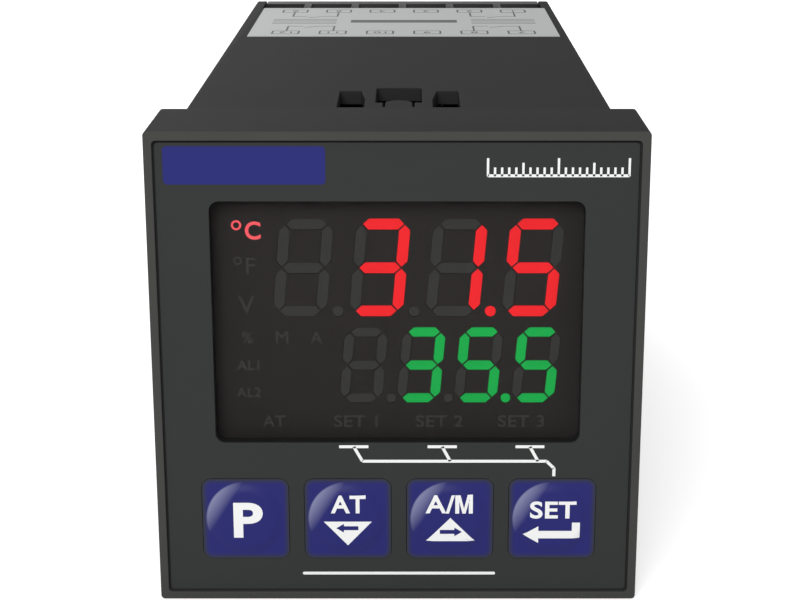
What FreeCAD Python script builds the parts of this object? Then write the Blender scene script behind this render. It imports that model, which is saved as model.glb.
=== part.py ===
import FreeCAD, Part
import math
import os
import re

import Sketcher

# A panel-mounted process controller with a 48 mm square front.
# X runs to the right seen from the front, Y back into the panel, Z up.
# The origin is the centre of the panel's front surface, where the gasket seats.

SIZES = {
    # front bezel, with the recess for its film
    "skirt_wall": 1.45,
    "bezel_depth": 12.7,
    "bezel_corner": 0.4,
    "bezel_rear_round": 0.4,
    "rim_width": 0.85,
    "film_recess": 0.3,
    "film_thickness": 0.2,
    "film_gap": 0.2,
    "film_corner": 0.4,
    "plate_thickness": 1.2,
    "gasket_thickness": 1.0,
    "gasket_inset": 0.5,
    # case sleeve that slides into the bezel
    "case_side": 44.9,
    "case_wall": 1.55,
    "case_corner": 0.4,
    "case_start": 3.0,
    "case_length": 111.8,
    "slide_clearance": 0.1,
    # sockets for the panel clamp, in the top and the bottom of the case
    "socket_start": 24.9,
    "socket_length": 9.3,
    "socket_width": 5.0,
    "socket_chamfer": 0.4,
    "tongue_width": 2.9,
    "tongue_reach": 1.4,
    "slit_width": 0.25,
    "slit_length": 2.6,
    "side_socket_start": 22.0,
    "side_socket_length": 10.2,
    "side_socket_centre": 5.1,
    "side_socket_width": 2.9,
    "side_socket_taper": 0.55,
    "side_socket_straight": 5.0,
    # layout of the front, drawn for a face with this side
    "layout_side": 48.0,
    # display window
    "window_width": 35.8,
    "window_height": 24.3,
    "window_rise": 5.03,
    "window_corner": 0.9,
    "window_clearance": 0.06,
    "window_flange": 0.8,
    "window_flange_thickness": 0.6,
    # keys
    "key_width": 8.5,
    "key_height": 8.4,
    "key_corner": 0.9,
    "key_pitch": 10.2,
    "key_row_shift": 0.1,
    "key_drop": 15.285,
    "key_clearance": 0.1,
    "key_flange": 0.5,
    "key_flange_thickness": 0.6,
    "key_flange_gap": 0.05,
    "key_pillow_radius": 4.05,
    "key_pillow_top": 2.7,
    "key_pillow_rise": 0.35,
    "key_travel": 0.35,
    "key_stem_radius": 1.5,
    "key_stem_length": 1.9,
    # push switches behind the keys
    "switch_side": 6.0,
    "switch_height": 3.5,
    "plunger_radius": 1.65,
    "plunger_clearance": 0.15,
    "plunger_gap": 0.05,
    "plunger_length": 1.8,
    # display module: a reflector block with pockets for the digits
    "module_gap": 0.2,
    "module_margin": 0.55,
    "module_depth": 6.1,
    "segment_depth": 1.2,
    "segment_gap": 0.07,
    "digit_slant": 5.0,
    "upper_digit_width": 5.33,
    "upper_digit_height": 9.89,
    "upper_digit_stroke": 1.14,
    "upper_digit_pitch": 7.46,
    "upper_last_digit": 13.2,
    "upper_row_rise": 5.09,
    "upper_point_offset": 3.35,
    "upper_point_drop": 4.4,
    "upper_point_radius": 0.56,
    "lower_digit_width": 4.31,
    "lower_digit_height": 7.86,
    "lower_digit_stroke": 1.02,
    "lower_digit_pitch": 5.68,
    "lower_last_digit": 13.68,
    "lower_row_rise": -4.875,
    "lower_point_offset": 2.7,
    "lower_point_drop": 3.43,
    "lower_point_radius": 0.51,
    # small lamps for the legends beside and below the digits
    "lamp_width": 2.6,
    "lamp_height": 1.7,
    "lamp_column": 14.8,
    "celsius_rise": 8.82,
    "fahrenheit_rise": 5.29,
    "voltage_rise": 1.33,
    "percent_rise": -2.02,
    "first_alarm_rise": -4.86,
    "second_alarm_rise": -7.7,
    "manual_lamp_offset": 11.38,
    "auto_lamp_offset": 7.99,
    "status_lamp_width": 5.2,
    "status_lamp_pitch": 8.3,
    "status_row_rise": -10.74,
    # circuit boards and the rails that hold them
    "board_thickness": 1.6,
    "board_clearance": 0.2,
    "board_spacing": 9.9,
    "board_setback": 10.8,
    "rail_height": 1.0,
    "rail_width": 1.2,
    "rail_clearance": 0.15,
    "rail_start": 12.0,
    "header_width": 25.0,
    "header_height": 2.5,
    "header_depth": 5.0,
    # parts on the boards
    "core_start": 66.0,
    "core_width": 25.0,
    "core_depth": 9.0,
    "core_height": 15.0,
    "core_leg": 4.0,
    "winding_clearance": 0.3,
    "winding_depth": 16.0,
    "capacitor_start": 52.0,
    "capacitor_radius": 5.0,
    "capacitor_height": 14.0,
    "capacitor_offset": 9.0,
    "relay_start": 22.0,
    "relay_width": 10.0,
    "relay_depth": 18.0,
    "relay_height": 12.5,
    "relay_offset": 8.0,
    "processor_start": 50.0,
    "processor_side": 12.0,
    "chip_thickness": 1.4,
    "amplifier_start": 80.0,
    "amplifier_width": 4.0,
    "amplifier_length": 5.0,
    "amplifier_pitch": 9.0,
    "crystal_start": 68.0,
    "crystal_width": 11.0,
    "crystal_depth": 4.6,
    "crystal_height": 3.4,
    "fuse_start": 46.0,
    "fuse_radius": 2.0,
    "fuse_length": 8.0,
    "fuse_offset": 9.0,
    # rear terminal blocks
    "notch_length": 8.3,
    "block_clearance": 0.15,
    "block_front_wall": 1.2,
    "block_floor": 8.2,
    "way_count": 6,
    "rib_width": 1.1,
    "chamber_depth": 4.8,
    "chamber_floor": 12.7,
    "screw_height": 15.2,
    "bore_radius": 2.2,
    "plate_gap": 0.2,
    "rear_plate_thickness": 2.5,
    "vent_count": 9,
    "vent_pitch": 4.0,
    "vent_width": 1.6,
    "vent_height": 9.0,
    # wire cages, their screws and contact bars
    "cage_gap": 0.3,
    "cage_height": 4.8,
    "cage_wall": 0.7,
    "screw_radius": 1.5,
    "screw_length": 2.4,
    "screw_clearance": 0.1,
    "head_radius": 2.0,
    "head_height": 1.8,
    "contact_width": 3.0,
    "contact_thickness": 0.8,
    "contact_height": 5.5,
    "contact_foot": 4.5,
    "contact_clearance": 0.1,
    # wiring label on the top
    "label_setback": 9.4,
    "label_width": 41.8,
    "label_length": 30.1,
    "label_shift": 0.3,
    "label_thickness": 0.1,
}

# the layout's sizes keep their share of the face: their names open or end like this
LAYOUT_STARTS = ("window_width", "window_height", "window_corner", "key_width", "key_height", "key_corner",
                 "key_pitch", "key_row_shift", "key_drop", "key_pillow_radius", "key_pillow_top", "upper_",
                 "lower_", "lamp_", "status_")
LAYOUT_ENDS = ("_rise", "_lamp_offset")

KEYS = ("program", "down", "up", "set")
SEGMENTS = "abcdefg"
# segments that are lit in each digit, with p for its decimal point
UPPER_READING = ("", "abgcd", "bcp", "afgcd")
LOWER_READING = ("", "abgcd", "afgcdp", "afgcd")

doc = FreeCAD.newDocument("temperature_controller")
sheet = doc.addObject("Spreadsheet::Sheet", "Sizes")
for row, (alias, size) in enumerate(SIZES.items(), start=2):
    sheet.set(f"A{row}", alias)
    sheet.set(f"B{row}", str(size))
    if alias.startswith(LAYOUT_STARTS) or alias.endswith(LAYOUT_ENDS):
        sheet.set(f"C{row}", f"=B{row} * face_scale")
        sheet.setAlias(f"C{row}", alias)
    else:
        sheet.setAlias(f"B{row}", alias)
sheet.set("A1", "face_scale")
sheet.setAlias("B1", "face_scale")
sheet.set("B1", "=(case_side + 2 * slide_clearance + 2 * skirt_wall) / layout_side")
doc.recompute()

subparts = []


# Expressions --------------------------------------------------------------

def bound(text):
    """The expression text with each size's name pointing at the sheet."""
    return re.sub(r"[a-z_]+", lambda word: f"Sizes.{word[0]}" if word[0] in SIZES else word[0], str(text))


def number(text):
    return float(sheet.evalExpression(bound(text)))


def behind_front(depth):
    """The Y of a plane that lies depth behind the bezel's front face."""
    return f"({depth}) - bezel_depth - gasket_thickness"


# Sketches and features of a body ------------------------------------------

def new_body(label):
    body = doc.addObject("PartDesign::Body", label)
    body.Label = label
    subparts.append(body)
    return body


def origin_item(body, role):
    return next(item for item in body.Origin.OriginFeatures if item.Role == role)


def sketch_across(body, y, name):
    """A sketch in the plane across the case at y, facing the front."""
    return attached_sketch(body, "XZ_Plane", f"-({y})", name)


def sketch_level(body, z, name):
    return attached_sketch(body, "XY_Plane", z, name)


def sketch_lengthwise(body, x, name):
    return attached_sketch(body, "YZ_Plane", x, name)


def attached_sketch(body, role, offset, name):
    sketch = body.newObject("Sketcher::SketchObject", name)
    sketch.AttachmentSupport = [(origin_item(body, role), "")]
    sketch.MapMode = "FlatFace"
    sketch.setExpression("AttachmentOffset.Base.z", bound(offset))
    return sketch


def constrain(sketch, kind, *where, size):
    index = sketch.addConstraint(Sketcher.Constraint(kind, *where, number(size)))
    sketch.setExpression(f"Constraints[{index}]", bound(size))


def pin_point(sketch, edge, end, point):
    constrain(sketch, "DistanceX", -1, 1, edge, end, size=point[0])
    constrain(sketch, "DistanceY", -1, 1, edge, end, size=point[1])


def outline(sketch, points, arch_rise=None):
    """A closed outline through points, whose last edge may be an arch across the Y axis."""
    corners = [FreeCAD.Vector(number(x), number(y), 0) for x, y in points]
    first = sketch.GeometryCount
    last = len(points) - 1
    for start, end in zip(corners, corners[1:]):
        sketch.addGeometry(Part.LineSegment(start, end), False)
    if arch_rise:
        radius = f"(({points[last][0]}) ^ 2 + ({arch_rise}) ^ 2) / (2 * ({arch_rise}))"
        middle = FreeCAD.Vector(0, corners[0].y + number(arch_rise) - number(radius), 0)
        turns = [math.atan2(end.y - middle.y, end.x) for end in (corners[last], corners[0])]
        arch = Part.Circle(middle, FreeCAD.Vector(0, 0, 1), number(radius))
        sketch.addGeometry(Part.ArcOfCircle(arch, *turns), False)
    else:
        sketch.addGeometry(Part.LineSegment(corners[last], corners[0]), False)
    for index, point in enumerate(points):
        following = first + (index + 1) % len(points)
        sketch.addConstraint(Sketcher.Constraint("Coincident", first + index, 2, following, 1))
        pin_point(sketch, first + index, 1, point)
    if arch_rise:
        constrain(sketch, "Radius", first + last, size=radius)


def rectangle(sketch, centre, width, height):
    x, y = centre
    low_x, high_x = f"{x} - ({width}) / 2", f"{x} + ({width}) / 2"
    low_y, high_y = f"{y} - ({height}) / 2", f"{y} + ({height}) / 2"
    outline(sketch, [(low_x, low_y), (high_x, low_y), (high_x, high_y), (low_x, high_y)])


def rounded_rectangle(sketch, centre, width, height, corner):
    """A rectangle with tangent corner arcs, held by its width, height, corner radius and centre."""
    x, y = number(centre[0]), number(centre[1])
    half_width, half_height, radius = number(width) / 2, number(height) / 2, number(corner)
    first = sketch.GeometryCount
    upright = FreeCAD.Vector(0, 0, 1)
    for quarter in range(4):
        angle = math.radians(90 * quarter)
        side_x, side_y = ((-1, -1), (1, -1), (1, 1), (-1, 1))[quarter]
        next_x, next_y = ((1, -1), (1, 1), (-1, 1), (-1, -1))[quarter]
        along = FreeCAD.Vector(math.cos(angle), math.sin(angle), 0)
        start = FreeCAD.Vector(x + side_x * half_width, y + side_y * half_height, 0) + along * radius
        end = FreeCAD.Vector(x + next_x * half_width, y + next_y * half_height, 0) - along * radius
        inward = FreeCAD.Vector(-along.y, along.x, 0)
        sketch.addGeometry(Part.LineSegment(start, end), False)
        corner_circle = Part.Circle(end + inward * radius, upright, radius)
        turn = angle - math.pi / 2
        sketch.addGeometry(Part.ArcOfCircle(corner_circle, turn, turn + math.pi / 2), False)
    for edge in range(8):
        sketch.addConstraint(Sketcher.Constraint("Tangent", first + edge, 2, first + (edge + 1) % 8, 1))
    for line, kind in ((0, "Horizontal"), (2, "Vertical"), (4, "Horizontal"), (6, "Vertical")):
        sketch.addConstraint(Sketcher.Constraint(kind, first + line))
    for arc in (3, 5, 7):
        sketch.addConstraint(Sketcher.Constraint("Equal", first + 1, first + arc))
    constrain(sketch, "Radius", first + 1, size=corner)
    constrain(sketch, "DistanceX", -1, 1, first + 2, 1, size=f"{centre[0]} + ({width}) / 2")
    constrain(sketch, "DistanceX", -1, 1, first + 6, 1, size=f"{centre[0]} - ({width}) / 2")
    constrain(sketch, "DistanceY", -1, 1, first, 1, size=f"{centre[1]} - ({height}) / 2")
    constrain(sketch, "DistanceY", -1, 1, first + 4, 1, size=f"{centre[1]} + ({height}) / 2")


def circle(sketch, centre, radius):
    middle = FreeCAD.Vector(number(centre[0]), number(centre[1]), 0)
    edge = sketch.addGeometry(Part.Circle(middle, FreeCAD.Vector(0, 0, 1), number(radius)), False)
    pin_point(sketch, edge, 3, centre)
    constrain(sketch, "Radius", edge, size=radius)


def pad(body, sketch, length, reverse=False, both_ways=False):
    feature = body.newObject("PartDesign::Pad", f"{sketch.Name}_pad")
    feature.Profile = sketch
    feature.setExpression("Length", bound(length))
    feature.Reversed = reverse
    feature.Midplane = both_ways
    sketch.Visibility = False
    doc.recompute()
    return feature


def pocket(body, sketch, length, reverse=False):
    """A cut into the body; it has to take something away."""
    before = body.Shape.Volume
    feature = body.newObject("PartDesign::Pocket", f"{sketch.Name}_pocket")
    feature.Profile = sketch
    feature.setExpression("Length", bound(length))
    feature.Reversed = reverse
    sketch.Visibility = False
    doc.recompute()
    if body.Shape.Volume > before - 1e-6:
        raise RuntimeError(f"{body.Label}: {feature.Name} cuts nothing")
    return feature


def backward_pad(body, sketch, length):
    """A pad from a sketch that faces the front towards the back."""
    return pad(body, sketch, length, reverse=True)


def forward_pocket(body, sketch, length):
    """A pocket from a sketch that faces the front, cut towards the front."""
    return pocket(body, sketch, length, reverse=True)


def in_a_row(body, count, pitch, features=None):
    """Repeats features, or the whole body, along X."""
    pattern = body.newObject("PartDesign::LinearPattern", "row")
    if features:
        pattern.Originals = features
    else:
        pattern.TransformMode = "Whole shape"
    pattern.Direction = (origin_item(body, "X_Axis"), [""])
    pattern.Mode = "Spacing"
    pattern.setExpression("Offset", bound(pitch))
    pattern.setExpression("Occurrences", bound(count))
    body.Tip = pattern
    doc.recompute()


def mirrored(body, role, features=None):
    """Mirrors features, or the whole body, in one of its origin planes."""
    mirror = body.newObject("PartDesign::Mirrored", "mirror")
    if features:
        mirror.Originals = features
    else:
        mirror.TransformMode = "Whole shape"
    mirror.MirrorPlane = (origin_item(body, role), [""])
    body.Tip = mirror
    doc.recompute()


# Primitives ---------------------------------------------------------------

def listed(solid, label):
    solid.Label = label
    subparts.append(solid)
    return solid


def placed(solid, x, y, z):
    for axis, place in zip("xyz", (x, y, z)):
        solid.setExpression(f"Placement.Base.{axis}", bound(place))


def box(name, x, y, z, width, depth, height):
    """A block centred on x, with its front face at y and its underside at z."""
    block = doc.addObject("Part::Box", name)
    block.setExpression("Length", bound(width))
    block.setExpression("Width", bound(depth))
    block.setExpression("Height", bound(height))
    placed(block, f"{x} - ({width}) / 2", y, z)
    return block


def rod(name, x, y, z, radius, length, axis=FreeCAD.Vector(0, 1, 0)):
    """A round bar from x, y, z along axis."""
    bar = doc.addObject("Part::Cylinder", name)
    bar.setExpression("Radius", bound(radius))
    bar.setExpression("Height", bound(length))
    bar.Placement.Rotation = FreeCAD.Rotation(FreeCAD.Vector(0, 0, 1), axis)
    placed(bar, x, y, z)
    return bar


def cut(name, base, tools):
    for tool in tools:
        step = doc.addObject("Part::Cut", name)
        step.Base = base
        step.Tool = tool
        base = step
    return base


def group(name, solids):
    collection = doc.addObject("Part::Compound", name)
    collection.Links = solids
    return listed(collection, name)


# Places that several pieces share -----------------------------------------

bezel_side = "(case_side + 2 * slide_clearance + 2 * skirt_wall)"
front = behind_front("0")
film_front = behind_front("film_recess")
plate_front = behind_front("film_recess + film_thickness")
plate_back = f"{plate_front} + plate_thickness"
module_front = f"{plate_back} + window_flange_thickness + module_gap"
display_board_front = f"{module_front} + module_depth"
main_boards_front = f"{display_board_front} + board_thickness + board_clearance"
case_front = behind_front("case_start")
case_rear = f"{case_front} + case_length"
inner_side = "(case_side - 2 * case_wall)"
board_width = f"({inner_side} - 2 * board_clearance)"
board_top = "(board_spacing + board_thickness)"
window_centre = "window_rise"
key_row = "(-key_drop)"
first_key = f"key_row_shift - {(len(KEYS) - 1) / 2} * key_pitch"
boards_end = f"{case_rear} - board_setback"
notch_front = f"{case_rear} - notch_length"
way_width = f"(({inner_side} - (way_count - 1) * rib_width) / way_count)"
way_pitch = f"({way_width} + rib_width)"
first_way = f"(-(way_count - 1) / 2 * {way_pitch})"
chamber_front = f"{notch_front} + block_clearance"
chamber_back = f"{notch_front} + chamber_depth"
cage_front = f"{chamber_front} + cage_gap"
cage_depth = f"({chamber_back} - ({chamber_front}) - 2 * cage_gap)"
contact_front = f"{cage_front} + cage_wall"
contact_back = f"{contact_front} + contact_thickness"


# Front --------------------------------------------------------------------

def window_opening(sketch, clearance="0"):
    rounded_rectangle(sketch, ("0", window_centre), f"window_width + 2 * ({clearance})",
                      f"window_height + 2 * ({clearance})", f"window_corner + {clearance}")


def key_outline(sketch, x, margin="0"):
    rounded_rectangle(sketch, (x, key_row), f"key_width + 2 * ({margin})",
                      f"key_height + 2 * ({margin})", f"key_corner + {margin}")


def square(sketch, side, corner):
    rounded_rectangle(sketch, ("0", "0"), side, side, corner)


def front_openings(body, y, depth):
    """The window and the four key openings, cut back from y."""
    opening = sketch_across(body, y, "window_opening")
    window_opening(opening, "window_clearance")
    pocket(body, opening, depth)
    opening = sketch_across(body, y, "key_opening")
    key_outline(opening, first_key, "key_clearance")
    first = pocket(body, opening, depth)
    in_a_row(body, len(KEYS), "key_pitch", [first])


def front_bezel():
    """A square moulded frame: a rim, a recessed plate and a deep skirt that sleeves the case."""
    body = new_body("front_bezel")
    block = sketch_across(body, front, "front_square")
    square(block, bezel_side, "bezel_corner")
    backward_pad(body, block, "bezel_depth")
    recess = sketch_across(body, front, "film_recess_square")
    square(recess, f"{bezel_side} - 2 * rim_width", "film_corner")
    pocket(body, recess, "film_recess + film_thickness")
    skirt = sketch_across(body, f"{front} + bezel_depth", "skirt_cavity")
    square(skirt, "case_side + 2 * slide_clearance", "case_corner + slide_clearance")
    forward_pocket(body, skirt, "bezel_depth - film_recess - film_thickness - plate_thickness")
    front_openings(body, plate_front, "plate_thickness")
    round_rear_edges(body)


def round_rear_edges(body):
    """A small round on the four straight outer edges of the bezel's rear."""
    rear = number(f"{front} + bezel_depth")
    outer = number(f"{bezel_side} / 2")
    match = 0.001  # how near a corner has to be to its worked-out place
    names = []
    for index, edge in enumerate(body.Shape.Edges, start=1):
        at_rear = all(abs(vertex.Y - rear) < match for vertex in edge.Vertexes)
        reach = max(max(abs(vertex.X), abs(vertex.Z)) for vertex in edge.Vertexes)
        if at_rear and abs(reach - outer) < match:
            names.append(f"Edge{index}")
    unrounded = body.Tip
    rounding = body.newObject("PartDesign::Fillet", "rear_round")
    rounding.Base = (unrounded, names)
    rounding.setExpression("Radius", bound("min(bezel_rear_round; bezel_corner * 0.9)"))
    body.Tip = rounding
    doc.recompute()


def front_overlay():
    """The printed film in the recess, with openings for the window and the keys."""
    body = new_body("front_overlay")
    film = sketch_across(body, film_front, "film_square")
    square(film, f"{bezel_side} - 2 * rim_width - 2 * film_gap", "film_corner")
    backward_pad(body, film, "film_thickness")
    front_openings(body, film_front, "film_thickness")


def display_window():
    """A smoked lens: its boss fills the opening, and its flange stops it from behind."""
    body = new_body("display_window")
    boss = sketch_across(body, film_front, "boss")
    window_opening(boss)
    backward_pad(body, boss, "film_thickness + plate_thickness")
    flange = sketch_across(body, plate_back, "flange")
    window_opening(flange, "window_flange")
    backward_pad(body, flange, "window_flange_thickness")


def panel_gasket():
    """A flat rubber frame between the bezel and the panel."""
    body = new_body("panel_gasket")
    ring = sketch_across(body, f"{front} + bezel_depth", "ring")
    square(ring, f"{bezel_side} - 2 * gasket_inset", "bezel_corner")
    square(ring, "case_side + 2 * slide_clearance", "case_corner + slide_clearance")
    backward_pad(body, ring, "gasket_thickness")


# Keys and their switches --------------------------------------------------

def key_cap(name, x):
    """A key with a round embossed pillow, a flange behind the plate and a stem."""
    body = new_body(f"key_{name}")
    cap = sketch_across(body, film_front, "cap")
    key_outline(cap, x)
    backward_pad(body, cap, "film_thickness + plate_thickness + key_flange_gap")
    flange = sketch_across(body, f"{plate_back} + key_flange_gap", "flange")
    key_outline(flange, x, "key_flange")
    backward_pad(body, flange, "key_flange_thickness")
    stem = sketch_across(body, f"{plate_back} + key_flange_gap + key_flange_thickness", "stem")
    circle(stem, (x, key_row), "key_stem_radius")
    backward_pad(body, stem, "key_stem_length")
    pillow = doc.addObject("Part::Cone", f"pillow_{name}")
    pillow.setExpression("Radius1", bound("key_pillow_radius"))
    pillow.setExpression("Radius2", bound("key_pillow_top"))
    pillow.setExpression("Height", bound("key_pillow_rise"))
    pillow.Placement.Rotation = FreeCAD.Rotation(FreeCAD.Vector(0, 0, 1), FreeCAD.Vector(0, -1, 0))
    placed(pillow, x, film_front, key_row)
    subparts.remove(body)
    body.Label = f"key_{name}_base"
    whole = doc.addObject("Part::Fuse", f"key_{name}_whole")
    whole.Base = body
    whole.Tool = pillow
    listed(whole, f"key_{name}")


def push_switch(name, x):
    """A square push switch on the display board, and the plunger that its key presses."""
    stem_end = f"{plate_back} + key_flange_gap + key_flange_thickness + key_stem_length"
    plunger_front = f"{stem_end} + plunger_gap"
    body_front = f"{display_board_front} - switch_height"
    bore_radius = "plunger_radius + plunger_clearance"
    bore_end = f"{plunger_front} + plunger_length + key_travel + plunger_clearance"
    listed(rod(f"plunger_{name}", x, plunger_front, key_row, "plunger_radius", "plunger_length"),
           f"switch_plunger_{name}")
    case = box(f"switch_case_{name}", x, body_front, f"{key_row} - switch_side / 2",
               "switch_side", "switch_height", "switch_side")
    bore = rod(f"switch_bore_{name}", x, body_front, key_row, bore_radius,
               f"{bore_end} - ({body_front})")
    listed(cut(f"switch_{name}", case, [bore]), f"switch_body_{name}")


# Display module -----------------------------------------------------------

def digit_centre(row, place):
    return number(f"{row}_last_digit - {3 - place} * {row}_digit_pitch")


def segment_bars(row):
    """The centre line of each segment of an upright digit."""
    right = number(f"({row}_digit_width - {row}_digit_stroke) / 2")
    top = number(f"({row}_digit_height - {row}_digit_stroke) / 2")
    return {
        "a": ((-right, top), (right, top)),
        "b": ((right, top), (right, 0)),
        "c": ((right, 0), (right, -top)),
        "d": ((-right, -top), (right, -top)),
        "e": ((-right, 0), (-right, -top)),
        "f": ((-right, top), (-right, 0)),
        "g": ((-right, 0), (right, 0)),
    }


def slanted(row, place, x, z):
    """A point of a digit, leaned to the right, in the plane of the module's front."""
    lean = math.tan(math.radians(number("digit_slant")))
    return FreeCAD.Vector(digit_centre(row, place) + x + z * lean, number(module_front),
                          number(f"{window_centre} + {row}_row_rise") + z)


def segment(row, place, name):
    """A six-sided bar with pointed ends, a gap short of each corner of the digit."""
    (x0, z0), (x1, z1) = segment_bars(row)[name]
    length = math.hypot(x1 - x0, z1 - z0)
    along = ((x1 - x0) / length, (z1 - z0) / length)
    half = number(f"{row}_digit_stroke / 2")
    gap = number("segment_gap")
    points = []
    for run, side in ((gap, 0), (gap + half, 1), (length - gap - half, 1), (length - gap, 0),
                      (length - gap - half, -1), (gap + half, -1)):
        x = x0 + along[0] * run - along[1] * side * half
        z = z0 + along[1] * run + along[0] * side * half
        points.append(slanted(row, place, x, z))
    face = Part.Face(Part.makePolygon(points + points[:1]))
    return face.extrude(FreeCAD.Vector(0, number("segment_depth"), 0))


def decimal_point(row, place):
    x = number(f"{row}_point_offset")
    centre = FreeCAD.Vector(digit_centre(row, place) + x, number(module_front),
                            number(f"{window_centre} + {row}_row_rise - {row}_point_drop"))
    radius = number(f"{row}_point_radius")
    return Part.makeCylinder(radius, number("segment_depth"), centre, FreeCAD.Vector(0, 1, 0))


def segment_group(row, colour, reading, lit):
    """The light guides of one row that are lit, or those that are dark."""
    shapes = []
    for place in range(4):
        for name in SEGMENTS + ("p" if place < 3 else ""):
            if (name in reading[place]) == lit:
                shapes.append(decimal_point(row, place) if name == "p" else segment(row, place, name))
    guides = doc.addObject("Part::Feature", f"{colour}_segments_{'lit' if lit else 'dark'}")
    guides.Shape = Part.makeCompound(shapes)
    return listed(guides, guides.Name)


def legend_lamps():
    """Small lamps for the legends: a column at the left, two inside it and a row below."""
    lamps = []
    column = ("celsius", "fahrenheit", "voltage", "percent", "first_alarm", "second_alarm")
    for name in column:
        lamps.append(lamp(name, "-lamp_column", f"{name}_rise", "lamp_width"))
    for name in ("manual", "auto"):
        lamps.append(lamp(name, f"-{name}_lamp_offset", "percent_rise", "lamp_width"))
    for index in range(4):
        x = f"key_row_shift + {index - 1.5} * status_lamp_pitch"
        lamps.append(lamp(f"status_{index + 1}", x, "status_row_rise", "status_lamp_width"))
    return group("legend_lamps", lamps)


def lamp(name, x, rise, width):
    return box(f"lamp_{name}", x, module_front, f"{window_centre} + {rise} - lamp_height / 2", width,
               "segment_depth", "lamp_height")


def display_module():
    """The reflector block, with a pocket for each segment, point and lamp."""
    block = box("reflector_block", "0", module_front,
                f"{window_centre} - window_height / 2 - module_margin",
                "window_width + 2 * module_margin", "module_depth", "window_height + 2 * module_margin")
    fillings = [
        segment_group("upper", "red", UPPER_READING, True),
        segment_group("upper", "red", UPPER_READING, False),
        segment_group("lower", "green", LOWER_READING, True),
        segment_group("lower", "green", LOWER_READING, False),
        legend_lamps(),
    ]
    doc.recompute()
    listed(cut("reflector", block, fillings), "display_reflector")


# Boards and what they carry -----------------------------------------------

def main_board(name, z):
    depth = f"{boards_end} - ({main_boards_front})"
    listed(box(name, "0", main_boards_front, z, board_width, depth, "board_thickness"), name)


def boards():
    """The display board stands behind the front; two long boards slide in the case's rails."""
    half = f"{board_width} / 2"
    listed(box("display_circuit", "0", display_board_front, f"-{half}", board_width,
               "board_thickness", board_width), "display_board")
    main_board("upper_board", "board_spacing")
    main_board("lower_board", f"-{board_top}")
    header_start = f"{display_board_front} + board_thickness"
    listed(box("header_above", "0", header_start, board_top, "header_width", "header_depth",
               "header_height"), "upper_header")
    listed(box("header_below", "0", header_start, f"-{board_top} - header_height", "header_width",
               "header_depth", "header_height"), "lower_header")


def transformer():
    """A laminated core on the lower board, with its winding round the middle leg."""
    floor = "-board_spacing"
    start = behind_front("core_start")
    core = box("core_block", "0", start, floor, "core_width", "core_depth", "core_height")
    window_width = "(core_width - 3 * core_leg) / 2"
    window_height = "core_height - 2 * core_leg"
    windows = []
    for side in (-1, 1):
        x = f"{side} * (core_leg + {window_width}) / 2"
        windows.append(box(f"core_window_{side}", x, start, f"{floor} + core_leg", window_width,
                           "core_depth", window_height))
    listed(cut("core", core, windows), "transformer_core")
    depth = "winding_depth"
    coil_start = f"{start} + core_depth / 2 - winding_depth / 2"
    coil = box("coil_block", "0", coil_start, f"{floor} + core_leg + winding_clearance",
               f"core_width - 2 * core_leg - 2 * winding_clearance", depth,
               f"{window_height} - 2 * winding_clearance")
    leg = box("coil_hole", "0", f"{start} - winding_clearance", f"{floor} + core_leg",
              "core_leg + 2 * winding_clearance", "core_depth + 2 * winding_clearance", window_height)
    listed(cut("coil", coil, [leg]), "transformer_winding")


def parts_on_lower_board():
    up = FreeCAD.Vector(0, 0, 1)
    listed(rod("capacitor", "-capacitor_offset", f"{behind_front('capacitor_start')} + capacitor_radius",
               "-board_spacing", "capacitor_radius", "capacitor_height", up), "mains_capacitor")
    listed(rod("fuse", "fuse_offset", behind_front("fuse_start"), "fuse_radius - board_spacing",
               "fuse_radius", "fuse_length"), "mains_fuse")
    relays = []
    for side in (-1, 1):
        relays.append(box(f"relay_{side}", f"{side} * relay_offset", behind_front("relay_start"),
                          "-board_spacing", "relay_width", "relay_depth", "relay_height"))
    group("output_relays", relays)


def parts_on_upper_board():
    listed(box("processor", "0", behind_front("processor_start"), board_top, "processor_side",
               "processor_side", "chip_thickness"), "processor_chip")
    listed(box("crystal", "0", behind_front("crystal_start"), board_top, "crystal_width",
               "crystal_depth", "crystal_height"), "clock_crystal")
    chips = []
    for side in (-1, 1):
        x = f"{side} * amplifier_pitch / 2"
        chips.append(box(f"amplifier_{side}", x, behind_front("amplifier_start"), board_top,
                         "amplifier_width", "amplifier_length", "chip_thickness"))
    group("amplifier_chips", chips)


# Case ---------------------------------------------------------------------

def clamp_sockets(body):
    """The three openings in the top wall that take the hooks of the panel clamp."""
    top = "case_side / 2"
    start = behind_front("socket_start")
    end = f"{start} + socket_length"
    tongue = "tongue_width / 2"
    slit = f"{tongue} + slit_width"
    half = "socket_width / 2"
    right = [(f"{half} - socket_chamfer / 2", end), (half, f"{end} - socket_chamfer"), (half, start),
             (slit, start), (slit, f"{start} - slit_length"), (tongue, f"{start} - slit_length"),
             (tongue, start)]
    left = [(f"-({x})", y) for x, y in reversed(right)]
    middle = sketch_level(body, top, "middle_socket")
    outline(middle, left + right, arch_rise="tongue_reach")
    middle_cut = pocket(body, middle, "case_wall")
    near = behind_front("side_socket_start")
    far = f"{near} + side_socket_length"
    inner = "side_socket_centre - side_socket_width / 2"
    outer = "side_socket_centre + side_socket_width / 2"
    side = sketch_level(body, top, "side_socket")
    outline(side, [(inner, near), (outer, near), (outer, far), (f"{inner} + side_socket_taper", far),
                   (inner, f"{near} + side_socket_straight")])
    outline(side, [(f"-({outer})", near), (f"-({inner})", near),
                   (f"-({inner})", f"{near} + side_socket_straight"),
                   (f"-({inner} + side_socket_taper)", far), (f"-({outer})", far)])
    return [middle_cut, pocket(body, side, "case_wall")]


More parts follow.
